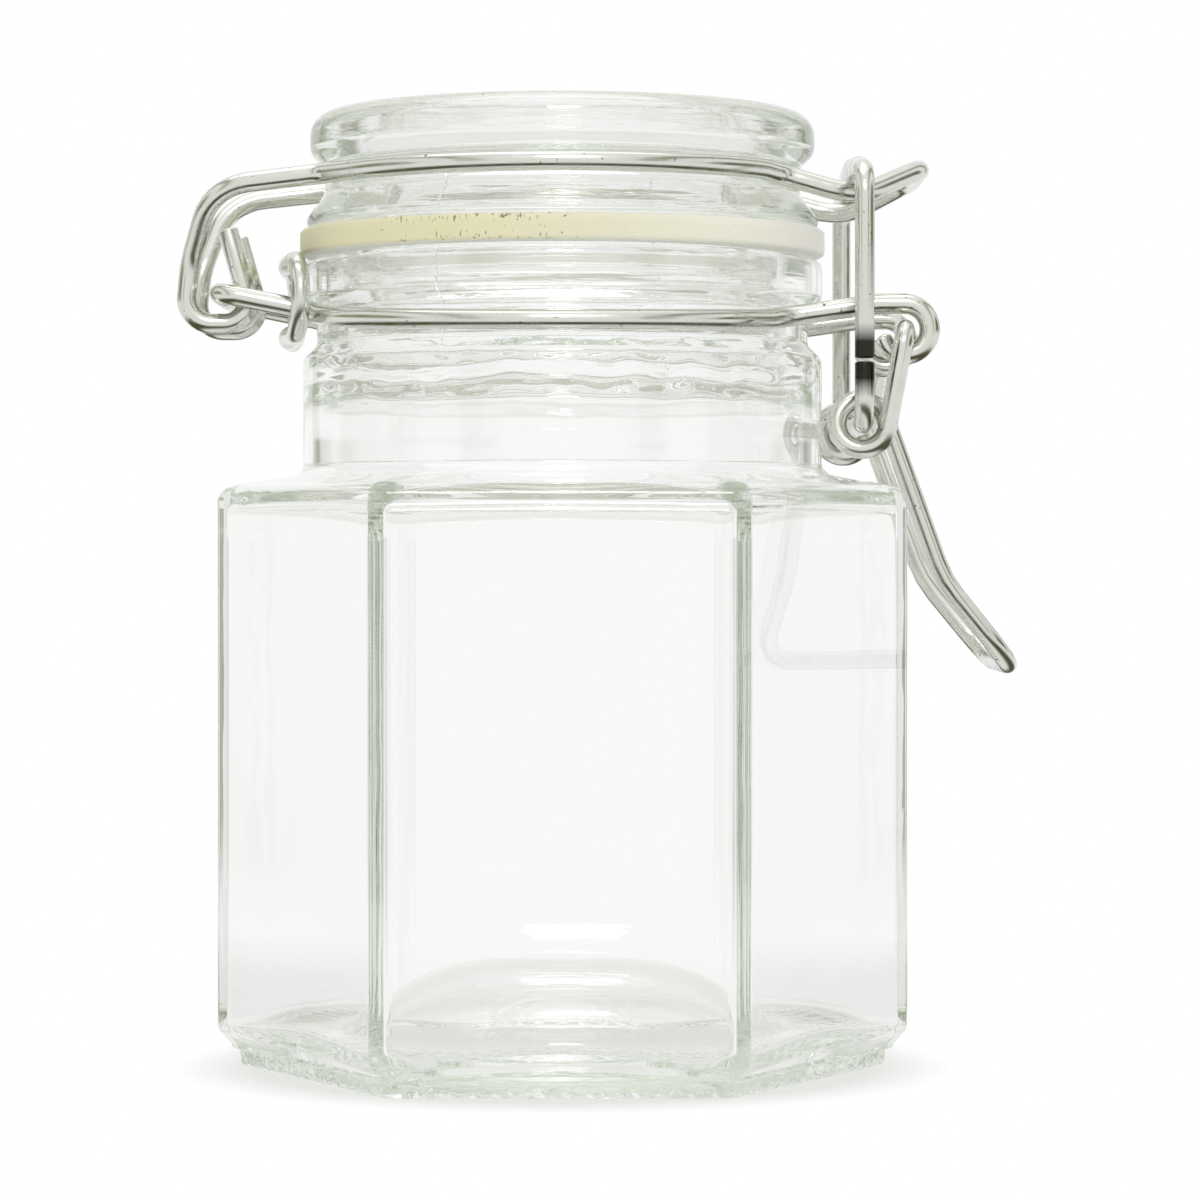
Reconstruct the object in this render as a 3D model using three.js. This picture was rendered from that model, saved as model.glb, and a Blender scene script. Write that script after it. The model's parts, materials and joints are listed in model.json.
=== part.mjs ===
// Hexagonal glass spice jar with a wire clip lid.
// Millimetres, +Z up. The origin is on the jar's axis, at the surface that the jar stands on.
// The lid's hinge is at -X, its clasp at +X, and one flat side of the hexagon faces -Y.
import * as THREE from "three";

// Fits between neighbouring pieces
const SEAT_GAP = 0.3;
const RUNNING_GAP = 0.45;
const PLUG_CLEARANCE = 0.85;

// Jar body
const ACROSS_FLATS = 54.2;
const CORNER_RADIUS = 2;
const BODY_HEIGHT = 51.7;
const TOP_EDGE_RADIUS = 1.2;
const SIDE_WALL = 1.9;
const INNER_CORNER_RADIUS = 0.9;
const HEEL_HEIGHT = 3.3;
const FOOT_HEIGHT = 1.5;
const FOOT_INSET = 1.8;
const FOOT_RING_WIDTH = 2.8;
const PUSH_UP = 6.3;
const FLOOR_HEIGHT = 3.4;
const FLOOR_CORNER = 1.1;
const DOME_RADIUS = 18.5;
const DOME_RISE = 6.4;

// Shoulder, neck and finish
const SHOULDER_RISE = 1.3;
const SHOULDER_CROWN = 0.6;
const NECK_RADIUS = 23.25;
const NECK_HEIGHT = 10.3;
const NECK_WALL = 1.85;
const NECK_FILLET = 0.9;
const GROOVE_DEPTH = 1.25;
const GROOVE_WIDTH = 2.95;
const GROOVE_LOWER_SLOPE = 1.2;
const GROOVE_UPPER_SLOPE = 1.25;
const BEAD_HEIGHT = 3.5;
const BEAD_ROUND = 0.8;
const NECK_LOWER_WALL = 1.5;

// Gasket
const GASKET_THICKNESS = 2.3;
const GASKET_OVERHANG = 0.25;
const GASKET_ROUND = 0.35;

// Lid
const FLANGE_INSET = 0.35;
const FLANGE_HEIGHT = 2.8;
const RIM_INSET = 0.65;
const RIM_HEIGHT = 4.8;
const LID_GROOVE_DEPTH = 1.25;
const LID_GROOVE_WIDTH = 2.6;
const DISH_RADIUS = 17.5;
const DISH_DEPTH = 3.2;
const PLUG_DEPTH = 5.2;
const PLUG_WALL = 2.6;
const LID_ROOF = 3;

// Wire hardware
const WIRE_DIAMETER = 1.8;
const CLASP_WIRE_DIAMETER = 1.7;
const HINGE_REACH = 7;
const HINGE_DROP = 3.3;
const HINGE_HALF_WIDTH = 7.9;
const LID_STRAND_HALF_WIDTH = 9.8;
const LID_STRAND_FALL = 1.1;
const LID_EYE_RADIUS = 2.65;
const LID_EYE_TAIL = 5.7;
const RING_HALF_HEIGHT = 3.2;
const RING_YAW = 0.9;
const RING_BOW = 1;
const RING_SLACK = 1.5;
const EYE_REACH = 6.55;
const EYE_DROP = 6.8;
const EYE_HALF_WIDTH = 13;
const NOSE_STRAND_HALF_WIDTH = 12.2;
const NOSE_HALF_WIDTH = 7;
const NOSE_REACH = 8.35;
const NOSE_DIP = 2.2;
const NOSE_LIFT = 0.6;
const COIL_REACH = 2.8;
const COIL_DROP = 15.1;
const LINK_ARCH = 2.5;
const LINK_JOINT_HEIGHT = 5.4;
const KNEE_REACH = 2.3;
const KNEE_DROP = 13.5;
const HANDLE_REACH = 8.3;
const HANDLE_DROP = 20.9;
const HANDLE_HALF_WIDTH = 10.9;

// Where the wires leave their grooves, and where an eye's end stops: degrees
const NECK_LEAVES_RIGHT = 40;
const NECK_LEAVES_LEFT = 25;
const LID_LEAVES_RIGHT = 40;
const LID_LEAVES_LEFT = 38;
const EYE_END = -160;

// Facets
const CORNER_STEPS = 3;
const FLAT_STEPS = 6;
const LID_STEPS = 54;
const WIRE_QUARTER_SIDES = 4;
const BEND_STEP = THREE.MathUtils.degToRad(24);
const CIRCLE_STEP = THREE.MathUtils.degToRad(8.5);
const RING_END_STEPS = 8;

// Heights and radii that follow from the sizes above
const wireRadius = WIRE_DIAMETER / 2;
const claspRadius = CLASP_WIRE_DIAMETER / 2;
const outerFlat = ACROSS_FLATS / 2;
const innerFlat = outerFlat - SIDE_WALL;
const bodyCorner = (outerFlat - CORNER_RADIUS) / Math.cos(Math.PI / 6) + CORNER_RADIUS;
const neckBase = BODY_HEIGHT + SHOULDER_RISE;
const grooveStart = neckBase + NECK_HEIGHT;
const grooveLow = grooveStart + GROOVE_LOWER_SLOPE;
const grooveHigh = grooveLow + GROOVE_WIDTH;
const beadLow = grooveHigh + GROOVE_UPPER_SLOPE;
const finishTop = beadLow + BEAD_HEIGHT;
const grooveRadius = NECK_RADIUS - GROOVE_DEPTH;
const boreRadius = grooveRadius - NECK_WALL;

const gasketLow = finishTop + SEAT_GAP;
const gasketHigh = gasketLow + GASKET_THICKNESS;
const gasketOuter = NECK_RADIUS + GASKET_OVERHANG;
const plugRadius = boreRadius - PLUG_CLEARANCE;
const gasketInner = (plugRadius + boreRadius) / 2 + SEAT_GAP;

const flangeLow = gasketHigh + SEAT_GAP;
const flangeRadius = NECK_RADIUS - FLANGE_INSET;
const rimRadius = NECK_RADIUS - RIM_INSET;
const lidGrooveRadius = rimRadius - LID_GROOVE_DEPTH;
const lidGrooveLow = flangeLow + FLANGE_HEIGHT;
const lidGrooveHigh = lidGrooveLow + LID_GROOVE_WIDTH;
const lidTop = lidGrooveHigh + RIM_HEIGHT;

const hinge = { x: -(NECK_RADIUS + HINGE_REACH), z: finishTop - HINGE_DROP };
const eye = { x: NECK_RADIUS + EYE_REACH, z: finishTop - EYE_DROP };
const coil = { x: NECK_RADIUS + COIL_REACH, z: finishTop - COIL_DROP };
const neckWireRadius = grooveRadius + SEAT_GAP + wireRadius;
const lidWireRadius = lidGrooveRadius + SEAT_GAP + wireRadius;
const lidWireHeight = (lidGrooveLow + lidGrooveHigh) / 2;
const pinBore = claspRadius + RUNNING_GAP;
const armHalfWidth = EYE_HALF_WIDTH + wireRadius + claspRadius + RUNNING_GAP;
const linkHalfWidth = armHalfWidth + CLASP_WIRE_DIAMETER + 2.5 * RUNNING_GAP;

// Materials
const glass = new THREE.MeshStandardMaterial({
  color: 0xe6ece6,
  roughness: 0.04,
  metalness: 0,
  transparent: true,
  opacity: 0.35,
});
const gasketRubber = new THREE.MeshStandardMaterial({ color: 0xe8dfbc, roughness: 0.7, metalness: 0 });
const platedWire = new THREE.MeshStandardMaterial({ color: 0xc4c6c3, roughness: 0.22, metalness: 1 });

// A ring of points round the axis, each with its place on a rounded hexagon.
function hexagonRing(flat, z, corner) {
  const points = [];
  const cornerCentre = (flat - corner) / Math.cos(Math.PI / 6);
  for (let side = 0; side < 6; side += 1) {
    const heading = (side * Math.PI) / 3;
    const centre = new THREE.Vector2(Math.cos(heading), Math.sin(heading)).multiplyScalar(cornerCentre);
    for (let step = 0; step <= CORNER_STEPS; step += 1) {
      const angle = heading + (step / CORNER_STEPS - 0.5) * (Math.PI / 3);
      points.push(new THREE.Vector3(centre.x + corner * Math.cos(angle), centre.y + corner * Math.sin(angle), z));
    }
    const from = points[points.length - 1];
    const next = heading + Math.PI / 3;
    const leave = heading + Math.PI / 6;
    const to = new THREE.Vector3(
      cornerCentre * Math.cos(next) + corner * Math.cos(leave),
      cornerCentre * Math.sin(next) + corner * Math.sin(leave),
      z,
    );
    for (let step = 1; step < FLAT_STEPS; step += 1) {
      points.push(from.clone().lerp(to, step / FLAT_STEPS));
    }
  }
  return points;
}

// The same number of points on a circle, in the hexagon's directions so that the two can be joined.
const ringAngles = hexagonRing(outerFlat, 0, CORNER_RADIUS).map((point) => Math.atan2(point.y, point.x));

function circleRing(radius, z) {
  return ringAngles.map((angle) => new THREE.Vector3(radius * Math.cos(angle), radius * Math.sin(angle), z));
}

function blendRings(from, to, share) {
  return from.map((point, i) => point.clone().lerp(to[i], share));
}

// A closed skin over a stack of rings, closed by a point on the axis at each end.
function loftRings(startHeight, rings, endHeight) {
  const count = rings[0].length;
  const points = [new THREE.Vector3(0, 0, startHeight), ...rings.flat(), new THREE.Vector3(0, 0, endHeight)];
  const last = points.length - 1;
  const at = (ring, place) => 1 + ring * count + (place % count);
  const index = [];
  for (let place = 0; place < count; place += 1) {
    index.push(0, at(0, place + 1), at(0, place));
    for (let ring = 0; ring + 1 < rings.length; ring += 1) {
      index.push(at(ring, place), at(ring, place + 1), at(ring + 1, place + 1));
      index.push(at(ring, place), at(ring + 1, place + 1), at(ring + 1, place));
    }
    index.push(at(rings.length - 1, place), at(rings.length - 1, place + 1), last);
  }
  const geometry = new THREE.BufferGeometry().setFromPoints(points);
  geometry.setIndex(index);
  geometry.computeVertexNormals();
  return geometry;
}

// Glass jar: underside, foot, heel and six sides, shoulder, neck and finish, then down the inside.
function jarBody() {
  const footFlat = outerFlat - FOOT_INSET;
  const ringInner = footFlat - FOOT_RING_WIDTH;
  const hexagon = (flat, z) => hexagonRing(flat, z, CORNER_RADIUS);
  const inside = (flat, z) => hexagonRing(flat, z, INNER_CORNER_RADIUS);
  const edge = outerFlat - TOP_EDGE_RADIUS;
  const edgeHeight = BODY_HEIGHT - TOP_EDGE_RADIUS;
  const slant = Math.SQRT1_2 * TOP_EDGE_RADIUS;
  const neckRoot = NECK_RADIUS + NECK_FILLET;
  const innerNeck = NECK_RADIUS - NECK_LOWER_WALL;
  const rings = [
    circleRing(ringInner * 0.3, PUSH_UP * 0.98),
    circleRing(ringInner * 0.55, PUSH_UP * 0.8),
    circleRing(ringInner * 0.72, PUSH_UP * 0.48),
    circleRing(ringInner * 0.86, PUSH_UP * 0.06),
    hexagon(ringInner, 0),
    hexagon(footFlat, 0),
    hexagon(footFlat, FOOT_HEIGHT),
    hexagon(outerFlat, HEEL_HEIGHT),
    hexagon(outerFlat, edgeHeight),
    hexagon(edge + slant, edgeHeight + slant),
    hexagon(edge, BODY_HEIGHT),
    blendRings(hexagon(edge, BODY_HEIGHT + SHOULDER_CROWN), circleRing(neckRoot, neckBase), 0.45),
    circleRing(neckRoot, neckBase - NECK_FILLET * 0.3),
    circleRing(NECK_RADIUS + NECK_FILLET * 0.3, neckBase + NECK_FILLET * 0.3),
    circleRing(NECK_RADIUS, neckBase + NECK_FILLET),
    circleRing(NECK_RADIUS, grooveStart),
    circleRing(grooveRadius, grooveLow),
    circleRing(grooveRadius, grooveHigh),
    circleRing(NECK_RADIUS, beadLow),
    circleRing(NECK_RADIUS, finishTop - BEAD_ROUND),
    circleRing(NECK_RADIUS - BEAD_ROUND * 0.3, finishTop - BEAD_ROUND * 0.3),
    circleRing(NECK_RADIUS - BEAD_ROUND, finishTop),
    circleRing(boreRadius + BEAD_ROUND, finishTop),
    circleRing(boreRadius + BEAD_ROUND * 0.3, finishTop - BEAD_ROUND * 0.3),
    circleRing(boreRadius, finishTop - BEAD_ROUND),
    circleRing(boreRadius, beadLow),
    circleRing(boreRadius + NECK_LOWER_WALL * 0.3, grooveLow),
    circleRing(innerNeck, grooveStart - 3 * GROOVE_LOWER_SLOPE),
    circleRing(innerNeck, neckBase),
    blendRings(circleRing(innerNeck, neckBase), inside(innerFlat, BODY_HEIGHT - SIDE_WALL), 0.5),
    inside(innerFlat - SIDE_WALL * 0.3, BODY_HEIGHT - SIDE_WALL * 0.9),
    inside(innerFlat, BODY_HEIGHT - SIDE_WALL * 2),
    inside(innerFlat, FLOOR_HEIGHT + FLOOR_CORNER),
    inside(innerFlat - FLOOR_CORNER * 0.3, FLOOR_HEIGHT + FLOOR_CORNER * 0.3),
    inside(innerFlat - FLOOR_CORNER, FLOOR_HEIGHT),
    circleRing(DOME_RADIUS, FLOOR_HEIGHT + DOME_RISE * 0.03),
    circleRing(DOME_RADIUS * 0.85, FLOOR_HEIGHT + DOME_RISE * 0.43),
    circleRing(DOME_RADIUS * 0.65, FLOOR_HEIGHT + DOME_RISE * 0.78),
    circleRing(DOME_RADIUS * 0.35, FLOOR_HEIGHT + DOME_RISE * 0.97),
  ];
  return loftRings(PUSH_UP, rings, FLOOR_HEIGHT + DOME_RISE);
}

// A turned piece from its outline of [radius, height] pairs.
function turned(outline) {
  const profile = outline.map(([radius, height]) => new THREE.Vector2(radius, height));
  return new THREE.LatheGeometry(profile, LID_STEPS).rotateX(Math.PI / 2);
}

// Glass lid, from the middle of its underside out along the plug and flange, and in over the rim.
function glassLid() {
  const plugLow = flangeLow - PLUG_DEPTH;
  const hollow = plugRadius - PLUG_WALL;
  const roof = lidTop - DISH_DEPTH - LID_ROOF;
  const rimWide = lidTop - RIM_HEIGHT * 0.5;
  return turned([
    [0, roof],
    [hollow * 0.86, roof - LID_ROOF * 0.05],
    [hollow, roof - LID_ROOF * 0.5],
    [hollow, plugLow + PLUG_WALL * 0.25],
    [hollow + PLUG_WALL * 0.3, plugLow],
    [plugRadius - PLUG_WALL * 0.25, plugLow],
    [plugRadius, plugLow + PLUG_WALL * 0.25],
    [plugRadius, flangeLow],
    [flangeRadius, flangeLow],
    [flangeRadius, flangeLow + FLANGE_HEIGHT * 0.25],
    [lidGrooveRadius + FLANGE_INSET, lidGrooveLow - FLANGE_HEIGHT * 0.1],
    [lidGrooveRadius, lidGrooveLow],
    [lidGrooveRadius, lidGrooveHigh],
    [rimRadius - LID_GROOVE_DEPTH * 0.4, lidGrooveHigh + RIM_HEIGHT * 0.22],
    [rimRadius, rimWide],
    [rimRadius - RIM_HEIGHT * 0.05, lidTop - RIM_HEIGHT * 0.15],
    [rimRadius - RIM_HEIGHT * 0.32, lidTop],
    [DISH_RADIUS + DISH_DEPTH * 0.3, lidTop],
    [DISH_RADIUS, lidTop - DISH_DEPTH],
    [0, lidTop - DISH_DEPTH],
  ]);
}

// Rubber ring with rounded edges, between the finish and the lid's flange.
function rubberGasket() {
  return turned([
    [gasketInner + GASKET_ROUND, gasketLow],
    [gasketOuter - GASKET_ROUND, gasketLow],
    [gasketOuter, gasketLow + GASKET_ROUND],
    [gasketOuter, gasketHigh - GASKET_ROUND],
    [gasketOuter - GASKET_ROUND, gasketHigh],
    [gasketInner + GASKET_ROUND, gasketHigh],
    [gasketInner, gasketHigh - GASKET_ROUND],
    [gasketInner, gasketLow + GASKET_ROUND],
    [gasketInner + GASKET_ROUND, gasketLow],
  ]);
}

// A corner of a wire's route, with the radius that the wire is bent to there. No radius keeps the point.
function corner(x, y, z, bend = 0) {
  return { at: new THREE.Vector3(x, y, z), bend };
}

// Points along a bent wire: straight runs between its corners, and an arc at each bend.
function bentRoute(corners) {
  return corners.flatMap(({ at, bend }, i) => {
    if (!bend) return [at];
    const back = corners[i - 1].at.clone().sub(at).normalize();
    const ahead = corners[i + 1].at.clone().sub(at).normalize();
    const turn = Math.PI - back.angleTo(ahead);
    const axis = ahead.clone().cross(back).normalize();
    const centre = back.clone().add(ahead).setLength(bend / Math.cos(turn / 2)).add(at);
    const arm = back.clone().multiplyScalar(bend * Math.tan(turn / 2)).add(at).sub(centre);
    const steps = Math.max(1, Math.round(turn / BEND_STEP));
    return Array.from({ length: steps + 1 }, (_, step) =>
      arm.clone().applyAxisAngle(axis, (turn * step) / steps).add(centre),
    );
  });
}

// A curve through given points, one for each ring of the wire, with the mean heading at each.
class WireRoute extends THREE.Curve {
  constructor(points) {
    super();
    this.points = points;
  }

  getPointAt(share, target = new THREE.Vector3()) {
    return target.copy(this.points[Math.round(share * (this.points.length - 1))]);
  }

  getTangentAt(share, target = new THREE.Vector3()) {
    const i = Math.round(share * (this.points.length - 1));
    const here = this.points[i];
    target.set(0, 0, 0);
    if (i > 0) target.add(here.clone().sub(this.points[i - 1]).normalize());
    if (i + 1 < this.points.length) target.add(this.points[i + 1].clone().sub(here).normalize());
    return target.normalize();
  }
}

function wire(points, diameter) {
  const section = new THREE.Shape().absarc(0, 0, diameter / 2, 0, 2 * Math.PI);
  return new THREE.ExtrudeGeometry(section, {
    steps: points.length - 1,
    curveSegments: WIRE_QUARTER_SIDES,
    bevelEnabled: false,
    extrudePath: new WireRoute(points),
  });
}

// The whole route from its near half, which ends on the middle plane.
function mirrored(half) {
  const far = half.slice(0, -1).map((point) => new THREE.Vector3(point.x, -point.y, point.z));
  return [...half, ...far.reverse()];
}

// Corners of an arc about Y, seen from -Y: angles run counter-clockwise from +X.
function arcAboutY(centre, radius, fromAngle, toAngle, fromY, toY) {
  const steps = Math.ceil(Math.abs(toAngle - fromAngle) / BEND_STEP);
  return Array.from({ length: steps + 1 }, (_, step) => {
    const share = step / steps;
    const angle = THREE.MathUtils.lerp(fromAngle, toAngle, share);
    const y = THREE.MathUtils.lerp(fromY, toY, share);
    return corner(centre.x + radius * Math.cos(angle), y, centre.z + radius * Math.sin(angle));
  });
}

// Corners of the near half of a wire round the jar, from the angle on the right to the angle on the left,
// both measured from the X axis. The height is lowest in the middle of the front.
function frontArc(radius, rightAngle, leftAngle, rightHeight, frontHeight, leftHeight) {
  const fromAngle = -rightAngle;
  const toAngle = leftAngle - Math.PI;
  const front = -Math.PI / 2;
  const steps = Math.ceil((fromAngle - toAngle) / CIRCLE_STEP);
  return Array.from({ length: steps + 1 }, (_, step) => {
    const angle = THREE.MathUtils.lerp(fromAngle, toAngle, step / steps);
    const end = angle > front ? fromAngle : toAngle;
    const endHeight = angle > front ? rightHeight : leftHeight;
    const share = (angle - front) / (end - front);
    const z = THREE.MathUtils.lerp(frontHeight, endHeight, share * share);
    return corner(radius * Math.cos(angle), radius * Math.sin(angle), z);
  });
}

// Where the line that leaves a circle at an angle from the X axis meets a strand beside that axis.
function leavingPoint(radius, angle, strandHalfWidth) {
  return radius * Math.cos(angle) + Math.tan(angle) * (radius * Math.sin(angle) - strandHalfWidth);
}

// Neck wire: an eye, the groove's near half, a strand to the hinge bar, and the same on the far side.
function neckWire() {
  const eyeRadius = pinBore + wireRadius;
  const eyeStart = THREE.MathUtils.degToRad(EYE_END);
  const rightAngle = THREE.MathUtils.degToRad(NECK_LEAVES_RIGHT);
  const leftAngle = THREE.MathUtils.degToRad(NECK_LEAVES_LEFT);
  const frontHeight = grooveLow + wireRadius + SEAT_GAP;
  const rightHeight = frontHeight + 0.5 * wireRadius;
  const leftHeight = grooveHigh - 0.75 * wireRadius;
  const rightX = leavingPoint(neckWireRadius, rightAngle, EYE_HALF_WIDTH);
  const leftX = leavingPoint(neckWireRadius, leftAngle, HINGE_HALF_WIDTH);
  const eyeTop = eye.z + eyeRadius;
  const half = bentRoute([
    ...arcAboutY(eye, eyeRadius, eyeStart, Math.PI / 2, -EYE_HALF_WIDTH, -EYE_HALF_WIDTH),
    corner(eye.x - eyeRadius, -EYE_HALF_WIDTH, eyeTop),
    corner(rightX, -EYE_HALF_WIDTH, rightHeight + SEAT_GAP, 2 * WIRE_DIAMETER),
    ...frontArc(neckWireRadius, rightAngle, leftAngle, rightHeight, frontHeight, leftHeight),
    corner(-leftX, -HINGE_HALF_WIDTH, leftHeight + RUNNING_GAP, 1.1 * WIRE_DIAMETER),
    corner(hinge.x, -HINGE_HALF_WIDTH, hinge.z, WIRE_DIAMETER),
    corner(hinge.x, 0, hinge.z),
  ]);
  return wire(mirrored(half), WIRE_DIAMETER);
}

// Cinch ring round the two strands of the neck wire, bowed to the neck. Its ends meet under the strands.
function neckRing() {
  const x = hinge.x + HINGE_REACH - gasketOuter + NECK_RADIUS - SEAT_GAP - claspRadius;
  const z = finishTop - RING_HALF_HEIGHT - claspRadius + SEAT_GAP;
  const halfWidth = HINGE_HALF_WIDTH + wireRadius + claspRadius + RING_SLACK;
  const straight = halfWidth - RING_HALF_HEIGHT;
  const jointHalfGap = SEAT_GAP / 2;
  const bend = RING_HALF_HEIGHT;
  const loop = [
    [jointHalfGap, -RING_HALF_HEIGHT],
    [straight / 2, -RING_HALF_HEIGHT],
    ...Array.from({ length: RING_END_STEPS + 1 }, (_, step) => {
      const angle = (step / RING_END_STEPS - 0.5) * Math.PI;
      return [straight + bend * Math.cos(angle), bend * Math.sin(angle)];
    }),
    [straight / 2, RING_HALF_HEIGHT],
  ];
  const far = loop.map(([across, up]) => [-across, up]).reverse();
  const points = [...loop, [0, RING_HALF_HEIGHT], ...far].map(([across, up]) => {
    const share = across / halfWidth;
    return new THREE.Vector3(x + RING_BOW * share * share - RING_YAW * share, across, z + up);
  });
  return wire(points, CLASP_WIRE_DIAMETER);
}

// Lid wire: an open eye on the hinge bar, the lid's groove, an upturned nose, and the same on the far side.
function lidWire() {
  const rightAngle = THREE.MathUtils.degToRad(LID_LEAVES_RIGHT);
  const leftAngle = THREE.MathUtils.degToRad(LID_LEAVES_LEFT);
  const eyeY = -(HINGE_HALF_WIDTH - WIRE_DIAMETER - RUNNING_GAP);
  const leftX = -leavingPoint(lidWireRadius, leftAngle, LID_STRAND_HALF_WIDTH);
  const rightX = leavingPoint(lidWireRadius, rightAngle, NOSE_STRAND_HALF_WIDTH);
  const dipX = coil.x - SEAT_GAP;
  const noseX = NECK_RADIUS + NOSE_REACH;
  const tight = 1.4 * WIRE_DIAMETER;
  const half = bentRoute([
    corner(hinge.x + LID_EYE_RADIUS * 0.25, eyeY, hinge.z + LID_EYE_TAIL),
    corner(hinge.x + LID_EYE_RADIUS * 1.15, eyeY, hinge.z - LID_EYE_RADIUS, tight * 0.8),
    corner(hinge.x - LID_EYE_RADIUS * 1.2, eyeY, hinge.z - LID_EYE_RADIUS, tight * 0.9),
    corner(hinge.x - LID_EYE_RADIUS, eyeY, hinge.z + LID_EYE_RADIUS, 2 * tight),
    corner(hinge.x - RUNNING_GAP, -LID_STRAND_HALF_WIDTH * 0.93, lidWireHeight - LID_STRAND_FALL, 2 * tight),
    corner(leftX, -LID_STRAND_HALF_WIDTH, lidWireHeight, tight),
    ...frontArc(lidWireRadius, rightAngle, leftAngle, lidWireHeight, lidWireHeight, lidWireHeight).reverse(),
    corner(rightX, -NOSE_STRAND_HALF_WIDTH, lidWireHeight - NOSE_DIP * 0.15, tight),
    corner(dipX, -NOSE_STRAND_HALF_WIDTH, lidWireHeight - NOSE_DIP, 2 * tight),
    corner(noseX, -NOSE_HALF_WIDTH, lidWireHeight + NOSE_LIFT, 1.5 * tight),
    corner(noseX, 0, lidWireHeight + NOSE_LIFT),
  ]);
  return wire(mirrored(half), WIRE_DIAMETER);
}

// Clasp link: a closed loop through the lever's coils and over the nose, with a butt joint on its near strand.
function claspLink() {
  const shoulder = lidWireHeight - NOSE_DIP + wireRadius + claspRadius;
  const joint = coil.z + LINK_JOINT_HEIGHT;
  const bend = 1.4 * CLASP_WIRE_DIAMETER;
  const archBend = 4 * linkHalfWidth;
  const y = linkHalfWidth;
  const points = bentRoute([
    corner(coil.x, -y, joint - SEAT_GAP / 2),
    corner(coil.x, -y, coil.z, bend),
    corner(coil.x, y, coil.z, bend),
    corner(coil.x, y, shoulder, bend),
    corner(coil.x, 0, shoulder + LINK_ARCH, archBend),
    corner(coil.x, -y, shoulder, bend),
    corner(coil.x, -y, joint + SEAT_GAP / 2),
  ]);
  return wire(points, CLASP_WIRE_DIAMETER);
}

// The angle at which a line from an outside point touches a circle, on its +X side.
function touchAngle(centre, radius, point, side) {
  const dx = point.x - centre.x;
  const dz = point.z - centre.z;
  return Math.atan2(dz, dx) + side * Math.acos(radius / Math.hypot(dx, dz));
}

// Clasp lever: a pin in the eye, an arm, one turn of coil, a leg with a knee, and a rounded thumb end.
function claspLever() {
  const coilRadius = pinBore + claspRadius;
  const knee = { x: bodyCorner + KNEE_REACH, z: coil.z - KNEE_DROP };
  const end = { x: bodyCorner + HANDLE_REACH, z: coil.z - HANDLE_DROP };
  const legHalfWidth = armHalfWidth - CLASP_WIRE_DIAMETER - RUNNING_GAP;
  const kneeHalfWidth = (legHalfWidth + HANDLE_HALF_WIDTH) / 2;
  const pinEnd = EYE_HALF_WIDTH - wireRadius - 2 * RUNNING_GAP;
  const coilStart = touchAngle(coil, coilRadius, eye, -1);
  const coilEnd = touchAngle(coil, coilRadius, knee, 1) - 2 * Math.PI;
  const half = bentRoute([
    corner(eye.x, -pinEnd, eye.z),
    corner(eye.x, -armHalfWidth, eye.z, CLASP_WIRE_DIAMETER),
    ...arcAboutY(coil, coilRadius, coilStart, coilEnd, -armHalfWidth, -legHalfWidth),
    corner(knee.x, -kneeHalfWidth, knee.z, 6 * CLASP_WIRE_DIAMETER),
    corner(end.x, -HANDLE_HALF_WIDTH, end.z, 2.4 * CLASP_WIRE_DIAMETER),
    corner(end.x, 0, end.z),
  ]);
  return wire(mirrored(half), CLASP_WIRE_DIAMETER);
}

function piece(name, geometry, material) {
  const mesh = new THREE.Mesh(geometry, material);
  mesh.name = name;
  return mesh;
}

const spiceJar = new THREE.Group();
spiceJar.add(
  piece("jar_body", jarBody(), glass),
  piece("glass_lid", glassLid(), glass),
  piece("rubber_gasket", rubberGasket(), gasketRubber),
  piece("neck_wire", neckWire(), platedWire),
  piece("neck_ring", neckRing(), platedWire),
  piece("lid_wire", lidWire(), platedWire),
  piece("clasp_link", claspLink(), platedWire),
  piece("clasp_lever", claspLever(), platedWire),
);

export default spiceJar;
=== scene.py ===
# %% [markdown]
# # A hexagonal spice jar with a wire clip lid
# The jar is pressed and blown from clear soda-lime glass. A glass lid sits on a cream rubber
# gasket, and bright plated wire hinges the lid on the left and clamps it on the right.
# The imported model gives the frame: where each piece is and which body it moves with. The lesson
# makes each piece again, smooth and finely shaped, in the place that the frame gives.

# %% Load the frame
import json
import math

import bmesh
import bpy
from mathutils import Matrix, Quaternion, Vector, noise


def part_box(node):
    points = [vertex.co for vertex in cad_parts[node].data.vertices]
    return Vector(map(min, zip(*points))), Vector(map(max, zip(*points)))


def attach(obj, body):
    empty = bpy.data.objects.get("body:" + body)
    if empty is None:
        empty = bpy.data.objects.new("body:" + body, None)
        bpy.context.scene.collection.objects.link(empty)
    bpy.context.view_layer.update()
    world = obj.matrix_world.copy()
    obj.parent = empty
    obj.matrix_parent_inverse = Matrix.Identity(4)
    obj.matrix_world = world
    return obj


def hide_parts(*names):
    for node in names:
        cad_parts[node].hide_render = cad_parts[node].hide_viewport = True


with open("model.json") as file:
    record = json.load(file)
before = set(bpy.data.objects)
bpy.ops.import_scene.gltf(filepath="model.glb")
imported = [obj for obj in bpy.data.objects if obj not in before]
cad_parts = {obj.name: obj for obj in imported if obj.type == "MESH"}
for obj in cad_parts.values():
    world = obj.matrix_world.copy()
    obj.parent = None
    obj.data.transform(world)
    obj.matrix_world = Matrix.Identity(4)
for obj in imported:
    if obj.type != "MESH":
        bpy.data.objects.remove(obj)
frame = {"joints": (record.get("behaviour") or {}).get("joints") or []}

MM = 0.001
scene = bpy.context.scene
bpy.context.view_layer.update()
hinge, eye, coil = (Vector(joint["pos_m"]) / MM for joint in frame["joints"])


def heights(node):
    """The lowest and the highest level of a node of the frame, in millimetres."""
    low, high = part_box(node)
    return low.z / MM, high.z / MM


print("hinge", hinge, "eye", eye, "coil", coil)

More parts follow.
